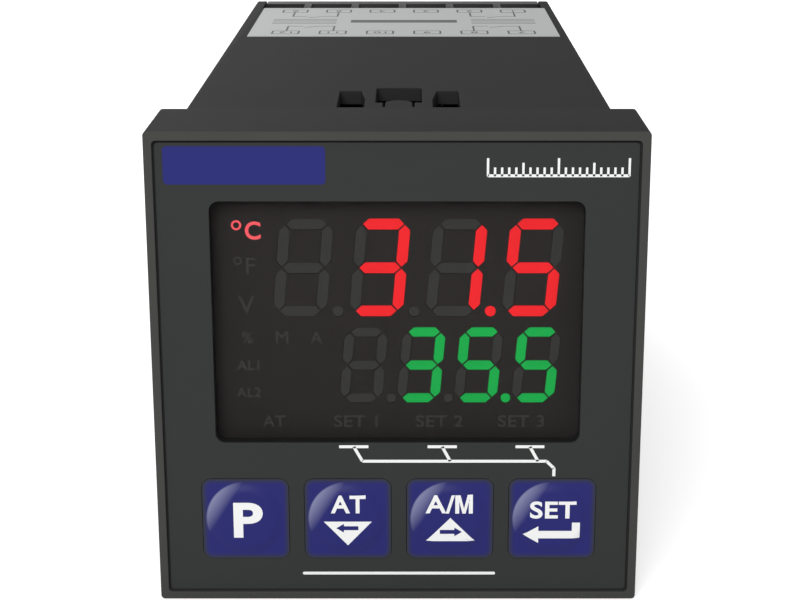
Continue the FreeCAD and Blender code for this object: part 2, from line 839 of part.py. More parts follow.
def board_rails(body):
    """Ribs inside both side walls, above and below the edge of each board."""
    x = f"{inner_side} / 2 - rail_width / 2"
    rails = sketch_across(body, behind_front("rail_start"), "rails")
    above = f"{board_top} + rail_clearance + rail_height / 2"
    below = "board_spacing - rail_clearance - rail_height / 2"
    for z in (above, below):
        for sign in ("", "-"):
            rectangle(rails, (x, f"{sign}({z})"), "rail_width", "rail_height")
    ribs = backward_pad(body, rails, f"{boards_end} - ({behind_front('rail_start')})")
    mirrored(body, "YZ_Plane", [ribs])


def case_sleeve():
    """A square tube, cut back at the rear of its top and bottom for the terminal blocks."""
    body = new_body("case_sleeve")
    outside = sketch_across(body, case_front, "outside")
    square(outside, "case_side", "case_corner")
    backward_pad(body, outside, "case_length")
    inside = sketch_across(body, case_front, "inside")
    rectangle(inside, ("0", "0"), inner_side, inner_side)
    pocket(body, inside, "case_length")
    cuts = clamp_sockets(body)
    notch = sketch_level(body, "case_side / 2", "rear_notch")
    rectangle(notch, ("0", f"{case_rear} - notch_length / 2"), inner_side, "notch_length")
    cuts.append(pocket(body, notch, "case_wall"))
    mirrored(body, "XY_Plane", cuts)
    board_rails(body)


def wiring_label():
    listed(box("label_sheet", "label_shift", f"{case_rear} - label_setback - label_length", "case_side / 2",
               "label_width", "label_length", "label_thickness"), "wiring_label")


# Rear terminals -----------------------------------------------------------

def terminal_block():
    """A six-way moulding: open wire chambers above, and a screw bore behind each of them."""
    body = new_body("upper_terminal_block")
    block_front = f"{notch_front} - block_front_wall"
    under_wall = f"{inner_side} / 2 - block_clearance"
    profile = sketch_lengthwise(body, "0", "profile")
    outline(profile, [(block_front, "block_floor"), (case_rear, "block_floor"), (case_rear, "case_side / 2"),
                      (chamber_front, "case_side / 2"), (chamber_front, under_wall),
                      (block_front, under_wall)])
    pad(body, profile, f"{inner_side} - 2 * block_clearance", both_ways=True)
    chamber = sketch_level(body, "case_side / 2", "chamber")
    chamber_length = f"({chamber_back} - ({chamber_front}))"
    rectangle(chamber, (first_way, f"{chamber_back} - {chamber_length} / 2"), way_width, chamber_length)
    chambers = pocket(body, chamber, "case_side / 2 - chamber_floor")
    bore = sketch_across(body, case_rear, "bore")
    circle(bore, (first_way, "screw_height"), "bore_radius")
    bores = forward_pocket(body, bore, f"{case_rear} - ({chamber_back})")
    channel = sketch_across(body, block_front, "channel")
    channel_height = f"(chamber_floor - {board_top} + contact_clearance)"
    rectangle(channel, (first_way, f"chamber_floor - {channel_height} / 2"),
              "contact_width + 2 * contact_clearance", channel_height)
    channels = pocket(body, channel, f"{contact_back} + contact_clearance - ({block_front})")
    in_a_row(body, "way_count", way_pitch, [chambers, bores, channels])
    lower = doc.addObject("Part::Mirroring", "lower_terminal_block")
    lower.Source = body
    lower.Normal = FreeCAD.Vector(0, 0, 1)
    listed(lower, "lower_terminal_block")


def both_rows(body):
    in_a_row(body, "way_count", way_pitch)
    mirrored(body, "XY_Plane")


def terminal_cages():
    """Folded steel cages that clamp the wires, open above and below."""
    body = new_body("terminal_cages")
    centre = (first_way, f"{cage_front} + {cage_depth} / 2")
    wall = sketch_level(body, "chamber_floor", "wall")
    cage_width = f"({way_width} - 2 * cage_gap)"
    rectangle(wall, centre, cage_width, cage_depth)
    rectangle(wall, centre, f"{cage_width} - 2 * cage_wall", f"{cage_depth} - 2 * cage_wall")
    pad(body, wall, "cage_height")
    hole = sketch_across(body, f"{cage_front} + {cage_depth}", "screw_hole")
    square_hole = "2 * (screw_radius + screw_clearance)"
    rectangle(hole, (first_way, "screw_height"), square_hole, square_hole)
    forward_pocket(body, hole, "cage_wall")
    both_rows(body)


def terminal_screws():
    """Round-headed screws that seat on the cages and press the wires."""
    body = new_body("terminal_screws")
    head_front = f"{cage_front} + {cage_depth}"
    head = sketch_across(body, head_front, "head")
    circle(head, (first_way, "screw_height"), "head_radius")
    backward_pad(body, head, "head_height")
    shank = sketch_across(body, f"{head_front} - screw_length", "shank")
    circle(shank, (first_way, "screw_height"), "screw_radius")
    backward_pad(body, shank, "screw_length")
    both_rows(body)


def terminal_contacts():
    """Tinned bars, bent from a foot on the board up into each cage."""
    body = new_body("terminal_contacts")
    foot = f"{boards_end} - contact_foot"
    profile = sketch_lengthwise(body, first_way, "profile")
    outline(profile, [(foot, board_top), (contact_back, board_top),
                      (contact_back, f"{board_top} + contact_height"),
                      (contact_front, f"{board_top} + contact_height"),
                      (contact_front, f"{board_top} + contact_thickness"),
                      (foot, f"{board_top} + contact_thickness")])
    pad(body, profile, "contact_width", both_ways=True)
    both_rows(body)


def rear_plate():
    """A slotted cover between the two terminal blocks."""
    body = new_body("rear_plate")
    plate = sketch_across(body, f"{case_rear} - rear_plate_thickness", "plate")
    rectangle(plate, ("0", "0"), f"{inner_side} - 2 * block_clearance", "2 * (block_floor - plate_gap)")
    backward_pad(body, plate, "rear_plate_thickness")
    vent = sketch_across(body, case_rear, "vent")
    rectangle(vent, ("-(vent_count - 1) / 2 * vent_pitch", "0"), "vent_width", "vent_height")
    first = forward_pocket(body, vent, "rear_plate_thickness")
    in_a_row(body, "vent_count", "vent_pitch", [first])


# Assembly -----------------------------------------------------------------

def check_document():
    """Stops when any object failed to build, or a sub-part has no sound solid."""
    for item in doc.Objects:
        if "Invalid" in item.State or "Error" in item.State:
            raise RuntimeError(f"{item.Name} failed: {item.State}")
    for item in subparts:
        if item.Shape.isNull() or not item.Shape.isValid() or not item.Shape.Solids:
            raise RuntimeError(f"{item.Label} has no valid solid")


def write_parts():
    os.makedirs("parts", exist_ok=True)
    for item in subparts:
        item.Shape.exportStep(f"parts/{item.Label}.step")
        print(item.Label, len(item.Shape.Solids), round(item.Shape.Volume, 2))


front_bezel()
front_overlay()
display_window()
panel_gasket()
for index, name in enumerate(KEYS):
    x = f"{first_key} + {index} * key_pitch"
    key_cap(name, x)
    push_switch(name, x)
display_module()
boards()
transformer()
parts_on_lower_board()
parts_on_upper_board()
case_sleeve()
wiring_label()
terminal_block()
terminal_cages()
terminal_screws()
terminal_contacts()
rear_plate()
doc.recompute()
check_document()
write_parts()
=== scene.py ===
import math

import bmesh
import bpy
from mathutils import Matrix, Vector


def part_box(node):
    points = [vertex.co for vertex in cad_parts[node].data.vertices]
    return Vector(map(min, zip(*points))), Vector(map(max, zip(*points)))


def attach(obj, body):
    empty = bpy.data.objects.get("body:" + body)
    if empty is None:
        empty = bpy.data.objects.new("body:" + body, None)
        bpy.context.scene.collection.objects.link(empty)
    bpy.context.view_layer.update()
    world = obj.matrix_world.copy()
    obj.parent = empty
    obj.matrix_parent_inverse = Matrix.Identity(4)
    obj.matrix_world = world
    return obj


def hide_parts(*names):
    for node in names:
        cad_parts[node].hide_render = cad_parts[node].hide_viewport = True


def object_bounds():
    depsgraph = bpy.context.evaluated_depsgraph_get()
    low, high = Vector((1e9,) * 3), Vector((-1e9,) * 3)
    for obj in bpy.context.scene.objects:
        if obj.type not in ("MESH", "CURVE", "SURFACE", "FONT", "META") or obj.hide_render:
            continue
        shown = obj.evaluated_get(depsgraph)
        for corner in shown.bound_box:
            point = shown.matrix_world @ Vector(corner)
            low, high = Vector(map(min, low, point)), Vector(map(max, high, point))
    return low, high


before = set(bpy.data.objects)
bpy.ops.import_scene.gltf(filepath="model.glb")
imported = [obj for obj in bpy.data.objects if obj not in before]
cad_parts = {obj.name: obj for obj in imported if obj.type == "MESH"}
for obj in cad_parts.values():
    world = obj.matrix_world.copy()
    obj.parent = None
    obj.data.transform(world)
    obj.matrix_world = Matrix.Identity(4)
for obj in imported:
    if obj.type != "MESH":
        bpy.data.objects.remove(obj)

cad_low, cad_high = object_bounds()

# ---------------------------------------------------------------------------
# View and light. The controller stands on a white table, seen a little from above
# through a long lens, in plain soft light from above, from the front and from behind.

MM = 0.001
camera = bpy.data.objects.new("camera", bpy.data.cameras.new("camera"))
bpy.context.collection.objects.link(camera)
bpy.context.scene.camera = camera
camera.location = Vector((1.34, -183.33, 56.55)) * MM
looks_down = 16.33
camera.rotation_euler = (math.radians(90 - looks_down), 0, 0)
camera.data.sensor_width = 36
camera.data.lens = 82.4
camera.data.shift_x = -0.0141
camera.data.shift_y = 0.0092
camera.data.clip_start = 10 * MM
bpy.context.scene.view_settings.view_transform = "Standard"


def seen_directly(nodes, links):
    """1 for rays that show the surroundings themselves, and 0 for those that light the object."""
    path = nodes.new("ShaderNodeLightPath")
    total = path.outputs["Is Camera Ray"]
    for name in ("Is Glossy Ray", "Is Transmission Ray"):
        add = nodes.new("ShaderNodeMath")
        add.operation = "ADD"
        add.use_clamp = True
        links.new(total, add.inputs[0])
        links.new(path.outputs[name], add.inputs[1])
        total = add.outputs[0]
    return total


ambient_strength = 0.5
world = bpy.data.worlds.new("studio")
world.use_nodes = True
bpy.context.scene.world = world
background = world.node_tree.nodes["Background"]
background.inputs["Color"].default_value = (1, 1, 1, 1)
strength = world.node_tree.nodes.new("ShaderNodeMapRange")
strength.inputs["To Min"].default_value = ambient_strength
strength.inputs["To Max"].default_value = 1
nodes, links = world.node_tree.nodes, world.node_tree.links
links.new(seen_directly(nodes, links), strength.inputs["Value"])
links.new(strength.outputs["Result"], background.inputs["Strength"])


def softbox(name, place, target, side, power):
    light = bpy.data.lights.new(name, "AREA")
    light.shape = "SQUARE"
    light.size = side
    light.energy = power
    lamp = bpy.data.objects.new(name, light)
    bpy.context.collection.objects.link(lamp)
    lamp.location = place
    lamp.rotation_euler = (Vector(target) - Vector(place)).to_track_quat("-Z", "Y").to_euler()


softbox("light_front", (-0.14, -0.6, 0.36), (0, 0, 0), 0.3, 2.9)
softbox("light_above", (-0.05, 0.05, 0.6), (0, 0.04, 0), 0.3, 0.2)
softbox("light_behind", (-0.2, 0.6, 0.3), (0, 0.05, 0), 0.3, 1.0)

bpy.ops.object.select_all(action="DESELECT")
table_gap = 0.05
bpy.ops.mesh.primitive_plane_add(size=6, location=(0, 0, cad_low.z - table_gap * MM))
table = bpy.context.object
table.name = "table_top"
paint = bpy.data.materials.new("white_table")
paint.use_nodes = True
nodes, links = paint.node_tree.nodes, paint.node_tree.links
matt = nodes["Principled BSDF"]
matt.inputs["Base Color"].default_value = (0.9, 0.9, 0.9, 1)
matt.inputs["Roughness"].default_value = 0.9
matt.inputs["Specular IOR Level"].default_value = 0
lit = nodes.new("ShaderNodeMapRange")
lit.inputs["To Min"].default_value = 0
lit.inputs["To Max"].default_value = 0.5
matt.inputs["Emission Color"].default_value = (1, 1, 1, 1)
links.new(seen_directly(nodes, links), lit.inputs["Value"])
links.new(lit.outputs["Result"], matt.inputs["Emission Strength"])
paint.cycles.emission_sampling = "NONE"
table.data.materials.append(paint)


# ---------------------------------------------------------------------------
# Front bezel: a square frame moulded in black ABS with a fine matt grain.
# Its rim slopes back a little from the film's recess, and all its edges are soft.

def ink(red, green, blue):
    """A printed or moulded colour, from screen values of 0 to 255."""
    return tuple(((value / 255 + 0.055) / 1.055) ** 2.4 if value > 10 else value / 3294
                 for value in (red, green, blue)) + (1,)


def moulded_grain():
    """A node group: the fine grain and faint cloudiness of a moulded or printed surface."""
    group = bpy.data.node_groups.new("moulded_grain", "ShaderNodeTree")
    for name, kind, value in (("Colour", "NodeSocketColor", (0.5, 0.5, 0.5, 1)),
                              ("Cloudiness", "NodeSocketFloat", 0.1), ("Grain Size", "NodeSocketFloat", 0.2),
                              ("Roughness", "NodeSocketFloat", 0.5), ("Unevenness", "NodeSocketFloat", 0.05)):
        group.interface.new_socket(name, in_out="INPUT", socket_type=kind).default_value = value
    for name, kind in (("Colour", "NodeSocketColor"), ("Roughness", "NodeSocketFloat"),
                       ("Height", "NodeSocketFloat")):
        group.interface.new_socket(name, in_out="OUTPUT", socket_type=kind)
    add, link = group.nodes.new, group.links.new
    given, result = add("NodeGroupInput"), add("NodeGroupOutput")
    place = add("ShaderNodeTexCoord")
    scale = add("ShaderNodeMath")
    scale.operation = "DIVIDE"
    scale.inputs[0].default_value = 1 / MM
    link(given.outputs["Grain Size"], scale.inputs[1])
    grain = add("ShaderNodeTexNoise")
    grain.inputs["Detail"].default_value = 3
    link(place.outputs["Object"], grain.inputs["Vector"])
    link(scale.outputs[0], grain.inputs["Scale"])
    cloud = add("ShaderNodeTexNoise")
    cloud.inputs["Scale"].default_value = 0.12 / MM
    link(place.outputs["Object"], cloud.inputs["Vector"])
    swing = add("ShaderNodeMath")
    swing.operation = "MULTIPLY_ADD"
    swing.inputs[1].default_value = 2
    swing.inputs[2].default_value = -1
    link(cloud.outputs["Fac"], swing.inputs[0])
    shade = add("ShaderNodeMath")
    shade.operation = "MULTIPLY_ADD"
    shade.inputs[2].default_value = 1
    link(swing.outputs[0], shade.inputs[0])
    link(given.outputs["Cloudiness"], shade.inputs[1])
    tint = add("ShaderNodeVectorMath")
    tint.operation = "SCALE"
    link(given.outputs["Colour"], tint.inputs[0])
    link(shade.outputs[0], tint.inputs["Scale"])
    rough = add("ShaderNodeMath")
    rough.operation = "MULTIPLY_ADD"
    link(swing.outputs[0], rough.inputs[0])
    link(given.outputs["Unevenness"], rough.inputs[1])
    link(given.outputs["Roughness"], rough.inputs[2])
    link(tint.outputs[0], result.inputs["Colour"])
    link(rough.outputs[0], result.inputs["Roughness"])
    link(grain.outputs["Fac"], result.inputs["Height"])
    return group


grain_group = moulded_grain()


def moulded(name, colour, roughness=0.5, specular=0.3, grain=0.25, relief=0.004, cloudiness=0.1,
            metallic=0.0, unevenness=0.05):
    """A material with the grain group in it; grain and relief are in millimetres."""
    material = bpy.data.materials.new(name)
    material.use_nodes = True
    nodes, links = material.node_tree.nodes, material.node_tree.links
    shader = nodes["Principled BSDF"]
    shader.inputs["Metallic"].default_value = metallic
    shader.inputs["Specular IOR Level"].default_value = specular
    surface = nodes.new("ShaderNodeGroup")
    surface.node_tree = grain_group
    surface.name = "grain"
    surface.inputs["Colour"].default_value = colour
    surface.inputs["Cloudiness"].default_value = cloudiness
    surface.inputs["Grain Size"].default_value = grain
    surface.inputs["Roughness"].default_value = roughness
    surface.inputs["Unevenness"].default_value = unevenness
    bump = nodes.new("ShaderNodeBump")
    bump.inputs["Strength"].default_value = 1
    bump.inputs["Distance"].default_value = relief * MM
    links.new(surface.outputs["Colour"], shader.inputs["Base Color"])
    links.new(surface.outputs["Roughness"], shader.inputs["Roughness"])
    links.new(surface.outputs["Height"], bump.inputs["Height"])
    links.new(bump.outputs["Normal"], shader.inputs["Normal"])
    return material


def only(piece):
    """Makes a piece the one selected and active object, out of edit mode."""
    if bpy.context.mode != "OBJECT":
        bpy.ops.object.mode_set(mode="OBJECT")
    bpy.ops.object.select_all(action="DESELECT")
    piece.select_set(True)
    bpy.context.view_layer.objects.active = piece


def select_points(piece, wanted):
    """Opens a piece in edit mode with only the points selected whose places are wanted."""
    only(piece)
    bpy.ops.object.mode_set(mode="EDIT")
    bpy.ops.mesh.select_mode(type="VERT")
    bpy.ops.mesh.select_all(action="DESELECT")
    mesh = bmesh.from_edit_mesh(piece.data)
    for point in mesh.verts:
        point.select = wanted(point.co)
    mesh.select_flush_mode()


def select_edges(piece, wanted):
    """Opens a piece in edit mode with only the wanted edges selected."""
    only(piece)
    bpy.ops.object.mode_set(mode="EDIT")
    bpy.ops.mesh.select_mode(type="EDGE")
    bpy.ops.mesh.select_all(action="DESELECT")
    mesh = bmesh.from_edit_mesh(piece.data)
    for edge in mesh.edges:
        edge.select_set(wanted(edge))
    mesh.select_flush_mode()


def merged_copy(node, name, cuts=()):
    """A new piece from a solid's own shape, with its triangles merged into flat faces.

    A flat face can't hold an opening, so the faces are first divided along planes through
    the openings; each cut is an axis and a place along it.
    """
    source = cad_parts[node]
    mesh = source.data.copy()
    mesh.transform(source.matrix_world)
    mesh.materials.clear()
    piece = bpy.data.objects.new(name, mesh)
    bpy.context.collection.objects.link(piece)
    only(piece)
    bpy.ops.object.mode_set(mode="EDIT")
    bpy.ops.mesh.select_all(action="SELECT")
    bpy.ops.mesh.remove_doubles(threshold=0.0005 * MM)
    for axis, place in cuts:
        across = Vector([float(axis == other) for other in "XYZ"])
        bpy.ops.mesh.select_all(action="SELECT")
        bpy.ops.mesh.bisect(plane_co=across * place, plane_no=across)
        bpy.ops.mesh.mark_seam(clear=False)
    bpy.ops.mesh.select_all(action="SELECT")
    bpy.ops.mesh.dissolve_limited(angle_limit=math.radians(0.5), delimit={"SEAM"})
    bpy.ops.object.mode_set(mode="OBJECT")
    return piece


def soften(piece, width, steps=2, sharper_than=35):
    """Rounds the sharp edges; width is in millimetres."""
    only(piece)
    bpy.ops.object.shade_smooth_by_angle(angle=math.radians(sharper_than))
    bevel = piece.modifiers.new("soft_edges", "BEVEL")
    bevel.width = width * MM
    bevel.segments = steps
    bevel.limit_method = "ANGLE"
    bevel.angle_limit = math.radians(sharper_than)
    bevel.use_clamp_overlap = False
    bevel.harden_normals = True
    bpy.ops.object.modifier_apply(modifier="soft_edges")


def finish(piece, body, slot, material, *nodes):
    """Gives a piece its material and body, and hides the solids that it stands for. The slot is not used."""
    piece.data.materials.clear()
    piece.data.materials.append(material)
    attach(piece, body)
    if nodes:
        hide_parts(*nodes)


window_low, window_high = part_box("display_window")
key_low, key_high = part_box("key_program")
window_row, key_row = (window_low.z + window_high.z) / 2, (key_low.z + key_high.z) / 2
bezel_low, bezel_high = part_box("front_bezel")
rim_front = bezel_low.y
rim_width, rim_slope = 0.7, 0.22
moulding_black, rim_highlight_grey = ink(48, 48, 48), ink(69, 69, 68)

# the rim's front strip is painted paler than the sides, down to the film's recess: a painted highlight where
# the lamps light the sloping rim
bezel_black = moulded("bezel_black", moulding_black, roughness=0.6, specular=0.005, relief=0.006)
nodes, links = bezel_black.node_tree.nodes, bezel_black.node_tree.links
place = nodes.new("ShaderNodeSeparateXYZ")
links.new(nodes.new("ShaderNodeTexCoord").outputs["Object"], place.inputs[0])
rim_highlight_mask = nodes.new("ShaderNodeMapRange")
rim_highlight_mask.inputs["From Min"].default_value = rim_front + 0.36 * MM
rim_highlight_mask.inputs["From Max"].default_value = rim_front + 0.3 * MM
links.new(place.outputs["Y"], rim_highlight_mask.inputs["Value"])
rim_highlight_tone = nodes.new("ShaderNodeMix")
rim_highlight_tone.data_type = "RGBA"
rim_highlight_tone.inputs["A"].default_value = moulding_black
rim_highlight_tone.inputs["B"].default_value = rim_highlight_grey
links.new(rim_highlight_mask.outputs["Result"], rim_highlight_tone.inputs["Factor"])
links.new(rim_highlight_tone.outputs["Result"], nodes["grain"].inputs["Colour"])

bezel = merged_copy("front_bezel", "bezel_frame", [("Z", window_row), ("Z", key_row)])
select_points(bezel, lambda place: place.y < rim_front + 0.1 * MM
              and max(abs(place.x), abs(place.z)) > bezel_high.x - rim_width * MM)
bpy.ops.transform.translate(value=(0, rim_slope * MM, 0))
bpy.ops.object.mode_set(mode="OBJECT")
soften(bezel, 0.1, steps=3)
finish(bezel, "root", "bezel_plastic", bezel_black, "front_bezel")


# ---------------------------------------------------------------------------
# Front film: satin polyester, printed charcoal from behind, in the bezel's recess.
# White guide lines join the status lamps to the keys; the badge is plain blue.

def key_area():
    """A node group: 1 on the blue key squares and 0 around them, blending softly at their edges."""
    group = bpy.data.node_groups.new("key_area", "ShaderNodeTree")
    group.interface.new_socket("Mask", in_out="OUTPUT", socket_type="NodeSocketFloat")
    link = group.links.new

    def math_node(operation, *values, clamp=False):
        node = group.nodes.new("ShaderNodeMath")
        node.operation = operation
        node.use_clamp = clamp
        for socket, value in zip(node.inputs, values):
            if isinstance(value, (int, float)):
                socket.default_value = value
            else:
                link(value, socket)
        return node.outputs[0]

    spread = group.nodes.new("ShaderNodeSeparateXYZ")
    link(group.nodes.new("ShaderNodeTexCoord").outputs["Object"], spread.inputs[0])
    first, last = key_low.x + key_high.x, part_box("key_set")[0].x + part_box("key_set")[1].x
    pitch = (last - first) / 6
    along = math_node("SUBTRACT", spread.outputs["X"], first / 2)
    index = math_node("ROUND", math_node("DIVIDE", along, pitch))
    index = math_node("MINIMUM", math_node("MAXIMUM", index, 0), 3)
    across = math_node("SUBTRACT", along, math_node("MULTIPLY", index, pitch))
    up = math_node("SUBTRACT", spread.outputs["Z"], key_row)
    half_width, half_height, corner = (size * MM for size in (4.25, 4.2, 0.9))
    over_x = math_node("SUBTRACT", math_node("ABSOLUTE", across), half_width - corner)
    over_z = math_node("SUBTRACT", math_node("ABSOLUTE", up), half_height - corner)
    round_x, round_z = math_node("MAXIMUM", over_x, 0), math_node("MAXIMUM", over_z, 0)
    outside = math_node("SQRT", math_node("ADD", math_node("MULTIPLY", round_x, round_x),
                                          math_node("MULTIPLY", round_z, round_z)))
    inside = math_node("MINIMUM", math_node("MAXIMUM", over_x, over_z), 0)
    distance = math_node("SUBTRACT", math_node("ADD", outside, inside), corner)
    blend = group.nodes.new("ShaderNodeMapRange")
    blend.interpolation_type = "SMOOTHSTEP"
    blend.inputs["From Min"].default_value = 0.2 * MM
    blend.inputs["From Max"].default_value = -0.6 * MM
    link(distance, blend.inputs["Value"])
    link(blend.outputs["Result"], group.nodes.new("NodeGroupOutput").inputs["Mask"])
    return group


def keyed(material):
    """Gives a film material blue key squares on its charcoal."""
    nodes, links = material.node_tree.nodes, material.node_tree.links
    area = nodes.new("ShaderNodeGroup")
    area.node_tree = key_area_group
    tint = nodes.new("ShaderNodeMix")
    tint.name = "key_tint"
    tint.data_type = "RGBA"
    tint.inputs["A"].default_value = charcoal
    tint.inputs["B"].default_value = blue
    links.new(area.outputs["Mask"], tint.inputs["Factor"])
    links.new(tint.outputs["Result"], nodes["grain"].inputs["Colour"])
    return material


charcoal, blue = ink(47, 49, 48), ink(34, 35, 103)
key_area_group = key_area()
film_charcoal = keyed(moulded("film_charcoal", charcoal, roughness=0.45, specular=0.1, grain=0.35,
                              relief=0.002, cloudiness=0.04))
film = merged_copy("front_overlay", "film_sheet", [("Z", window_row), ("Z", key_row)])
soften(film, 0.04, steps=1)
finish(film, "root", "overlay_film", film_charcoal, "front_overlay")
film_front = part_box("front_overlay")[0].y
ink_depth = 0.012


def printed(name, outlines, front=film_front, depth=ink_depth, place=(0, 0), facing="front"):
    """A flat print of closed outlines in millimetres, as a thin plate on a flat face."""
    curve = bpy.data.curves.new(name, "CURVE")
    curve.dimensions = "2D"
    curve.fill_mode = "BOTH"
    curve.extrude = depth * MM
    for outline in outlines:
        spline = curve.splines.new("POLY")
        spline.points.add(len(outline) - 1)
        spline.use_cyclic_u = True
        for point, (x, z) in zip(spline.points, outline):
            point.co = (x * MM, z * MM, 0, 1)
    piece = bpy.data.objects.new(name, curve)
    bpy.context.collection.objects.link(piece)
    return stand_up(piece, place, front, facing)


def stand_up(piece, place, front, facing="front"):
    """Makes a flat curve or text a mesh, turns it to the side that it faces and puts it in place."""
    only(piece)
    bpy.ops.object.convert(target="MESH")
    piece = bpy.context.object
    turned = {"front": Matrix.Rotation(math.radians(90), 4, "X"),
              "rear": Matrix.Rotation(math.pi, 4, "Z") @ Matrix.Rotation(math.radians(90), 4, "X"),
              "top": Matrix.Rotation(math.pi, 4, "Z")}[facing]
    across, along = place[0] * MM, place[1] * MM
    moved = (across, along, front) if facing == "top" else (across, front, along)
    piece.data.transform(Matrix.Translation(moved) @ turned)
    return piece


def lettered(name, text, place, height, front=film_front, bold=0.0, stretch=1.0, depth=ink_depth,
             facing="front"):
    """Plain lettering, centred on place; height is that of a capital letter."""
    letters = bpy.data.curves.new(name, "FONT")
    letters.body = text
    letters.size = 1
    letters.align_x = "CENTER"
    letters.align_y = "CENTER"
    letters.space_character = 1.06
    letters.offset = bold
    letters.extrude = depth * MM
    piece = bpy.data.objects.new(name, letters)
    bpy.context.collection.objects.link(piece)
    only(piece)
    bpy.ops.object.convert(target="MESH")
    piece = bpy.context.object
    points = [point.co for point in piece.data.vertices]
    low = Vector((min(point.x for point in points), min(point.y for point in points)))
    high = Vector((max(point.x for point in points), max(point.y for point in points)))
    middle, scale = (low + high) / 2, height * MM / (high.y - low.y)
    for point in points:
        point.x = (point.x - middle.x) * scale * stretch
        point.y = (point.y - middle.y) * scale
    return stand_up(piece, place, front, facing)


def joined(pieces, name):
    """Makes several meshes one piece."""
    only(pieces[0])
    for piece in pieces:
        piece.select_set(True)
    if len(pieces) > 1:
        bpy.ops.object.join()
    pieces[0].name = name
    return pieces[0]


def bar(start, end, width):
    """The four corners of a straight stroke between two points."""
    along = (Vector(end) - Vector(start)).normalized()
    across = Vector((-along.y, along.x)) * width / 2
    return [Vector(start) - across, Vector(end) - across, Vector(end) + across, Vector(start) + across]


def rounded_box(low, high, corner, steps=5):
    """The outline of a rectangle with round corners."""
    points = []
    corners = ((high[0], high[1]), (low[0], high[1]), (low[0], low[1]), (high[0], low[1]))
    for quarter, (x, z) in enumerate(corners):
        centre = Vector((x - math.copysign(corner, x - (low[0] + high[0]) / 2),
                         z - math.copysign(corner, z - (low[1] + high[1]) / 2)))
        for step in range(steps + 1):
            angle = math.radians(90 * (quarter + step / steps))
            points.append(centre + Vector((math.cos(angle), math.sin(angle))) * corner)
    return points


white_ink = moulded("white_ink", ink(235, 236, 235), roughness=0.55, specular=0.2, relief=0.001,
                    cloudiness=0.02)
badge_blue = moulded("badge_blue", ink(39, 42, 110), roughness=0.45, specular=0.1, relief=0.001,
                     cloudiness=0.05)

# three ticks under the status lamps run into one line, which bends down to the last key
line_width = 0.3
tick_row, guide_row, bend_row, line_end_row = -7.6, -9.13, -9.88, -10.72
guide_start, guide_end, last_key = -3.5, 14.75, 15.5
lines = []
for tick_start, tick_end, foot in ((-5.8, -2.9, guide_start), (2.95, 5.85, 5.2), (11.65, 14.5, 13.9)):
    middle = (tick_start + tick_end) / 2
    lines.append(bar((tick_start, tick_row), (tick_end, tick_row), line_width))
    lines.append(bar((middle, tick_row), (foot, guide_row), line_width))
lines.append(bar((guide_start, guide_row), (guide_end, guide_row), line_width))
lines.append(bar((guide_end, guide_row), (last_key, bend_row), line_width))
lines.append(bar((last_key, bend_row + 0.05), (last_key, line_end_row), line_width))
prints = [printed(f"guide_line_{index}", [line]) for index, line in enumerate(lines)]

# a plain graduated scale at the upper right, and a plain rule below the keys
scale_start, scale_end, scale_row, tick_count = 8.6, 22.0, 19.75, 20
prints.append(printed("scale_base", [bar((scale_start, scale_row), (scale_end, scale_row), 0.28)]))
for tick in range(tick_count + 1):
    x = scale_start + (scale_end - scale_start) * tick / tick_count
    height = 1.7 if tick % 10 == 0 else 1.25 if tick % 5 == 0 else 0.8
    prints.append(printed(f"scale_tick_{tick}", [bar((x, scale_row - 0.05), (x, scale_row + height), 0.22)]))
prints.append(printed("lower_rule", [rounded_box((-9.6, -21.35), (9.8, -21.05), 0.14)]))
finish(joined(prints, "film_white_print"), "root", "overlay_film", white_ink)
badge = printed("film_badge", [rounded_box((-22.2, 18.9), (-6.8, 22.6), 0.4)])
finish(badge, "root", "overlay_film", badge_blue)


# ---------------------------------------------------------------------------
# Keys: blue squares of the film, each raised in a round pillow over its switch.
# A pale crescent on the upper left of each pillow is a painted highlight; white legends are printed on top.

pillow_radius, pillow_edge, pillow_rise, pillow_rings = 4.05, 1.35, 0.35, 9
highlight_turn, painted_highlight_pale = math.radians(32.3), ink(150, 152, 182)


